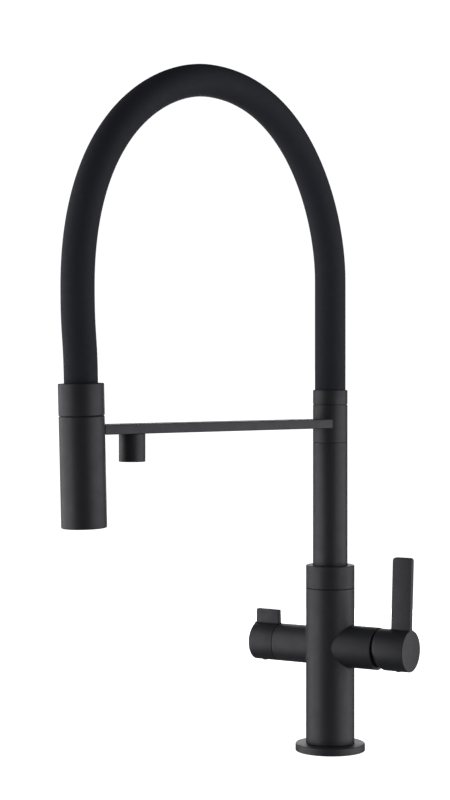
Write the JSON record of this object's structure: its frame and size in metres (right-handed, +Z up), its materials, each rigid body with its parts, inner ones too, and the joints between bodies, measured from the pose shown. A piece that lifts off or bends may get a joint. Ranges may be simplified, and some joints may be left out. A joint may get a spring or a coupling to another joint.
{
  "type": "pre rinse faucet",
  "caption": "Deck-mounted three-way kitchen tap with an arched sleeved hose, docked spray head on a swivel arm, mixer lever and small filtered-water lever.",
  "frame": {"origin": "centre of the base's underside, on the deck", "axes": "+Z up along the body, the valves along X with the mixer lever on +X, the user on the -Y side"},
  "size_m": [0.1628, 0.2829, 0.5348],
  "materials": {
    "black_coat": "matt black powder coat",
    "silicone": "matt black silicone sleeve",
    "brass": "machined",
    "steel": "satin stainless steel",
    "rubber": "matt",
    "white_plastic": "satin acetal",
    "grey_plastic": "satin",
    "black_plastic": "satin acetal",
    "ceramic": "ground and polished",
    "magnet": "nickel plated",
    "copper": "drawn copper tube"
  },
  "bodies": {
    "tap_body": {"base_flange": "black_coat", "flange_seal": "rubber", "inlet_plug": "brass", "hot_inlet_tube": "copper", "cold_inlet_tube": "copper", "filtered_inlet_tube": "copper", "manifold_block": "brass", "body_shell": "black_coat", "body_top_ring": "black_coat", "swivel_bush": "white_plastic", "thrust_washer": "white_plastic", "mixer_cartridge_seal": "rubber", "mixer_cartridge_housing": "white_plastic", "mixer_fixed_disc": "ceramic", "cartridge_nut": "black_coat", "filter_valve_seal": "rubber", "filter_valve_housing": "brass", "filter_fixed_disc": "ceramic"},
    "mixer_rotor": {"cartridge_rotor": "grey_plastic", "stem_pivot_pin": "steel"},
    "mixer_disc": {"mixer_moving_disc": "ceramic"},
    "mixer_lever": {"lever_stem": "steel", "mixer_handle": "black_coat", "mixer_set_screw": "steel", "mixer_screw_cap": "black_coat"},
    "filter_lever": {"filter_spindle": "brass", "filter_moving_disc": "ceramic", "filter_knob": "black_coat", "filter_set_screw": "steel", "filter_screw_cap": "black_coat"},
    "riser": {"riser_tube": "black_coat", "riser_spigot": "brass", "spigot_o_ring_low": "rubber", "spigot_o_ring_high": "rubber", "filtered_riser_tube": "copper", "collar_spindle": "brass", "spindle_o_ring_low": "rubber", "spindle_o_ring_high": "rubber"},
    "arm": {"swivel_collar": "black_coat", "collar_slide_washer": "black_plastic", "dock_arm": "black_coat", "arm_spigot": "brass", "dock_magnet": "magnet", "filter_outlet": "black_coat", "filter_aerator": "white_plastic", "hose_coupling_ring": "black_coat", "hose_inlet_fitting": "brass", "hose_inlet_ferrule": "steel", "hose_sleeve": "silicone", "hose_support_spring": "steel", "inner_hose": "grey_plastic"},
    "hose_end": {"hose_outlet_fitting": "brass", "hose_outlet_ferrule": "steel", "nipple_o_ring": "rubber"},
    "spray_head": {"spray_collar": "black_coat", "spray_body": "black_coat", "head_keeper_ring": "steel", "spray_core": "grey_plastic", "spray_face": "grey_plastic", "jet_aerator": "steel"}
  },
  "joints": [
    {"name": "spout_swivel", "type": "hinge", "parent": "tap_body", "child": "riser", "pos_m": [0, 0, 0.13], "axis": [0, 0, 1], "range_deg": [-53, 87]},
    {"name": "arm_swivel", "type": "hinge", "parent": "riser", "child": "arm", "pos_m": [0, 0, 0.26], "axis": [0, 0, 1], "range_deg": [-60, 60]},
    {"name": "head_undock", "type": "slide", "parent": "arm", "child": "hose_end", "axis": [-0.2924, -0.9563, 0], "range_m": [0, 0.04], "deforming": ["hose_sleeve", "hose_support_spring", "inner_hose"]},
    {"name": "head_swivel", "type": "hinge", "parent": "hose_end", "child": "spray_head", "pos_m": [-0.07248, -0.23708, 0.24], "axis": [-0.0082, -0.0267, 0.9996], "continuous": true},
    {"name": "mixer_temperature", "type": "hinge", "parent": "tap_body", "child": "mixer_rotor", "pos_m": [0.031, 0, 0.084], "axis": [1, 0, 0], "range_deg": [-45, 45]},
    {"name": "mixer_flow", "type": "hinge", "parent": "mixer_rotor", "child": "mixer_lever", "pos_m": [0.031, 0, 0.084], "axis": [0, 1, 0], "range_deg": [0, 22]},
    {"name": "mixer_disc_shift", "type": "slide", "parent": "mixer_rotor", "child": "mixer_disc", "axis": [0, 0, 1], "range_m": [0, 0.0022]},
    {"name": "filter_valve_turn", "type": "hinge", "parent": "tap_body", "child": "filter_lever", "pos_m": [-0.04, 0, 0.083], "axis": [1, 0, 0], "range_deg": [0, 90]}
  ],
  "couplings": [
    {"joint": "mixer_disc_shift", "follows": "mixer_flow", "m_per_rad": 0.0055}
  ]
}
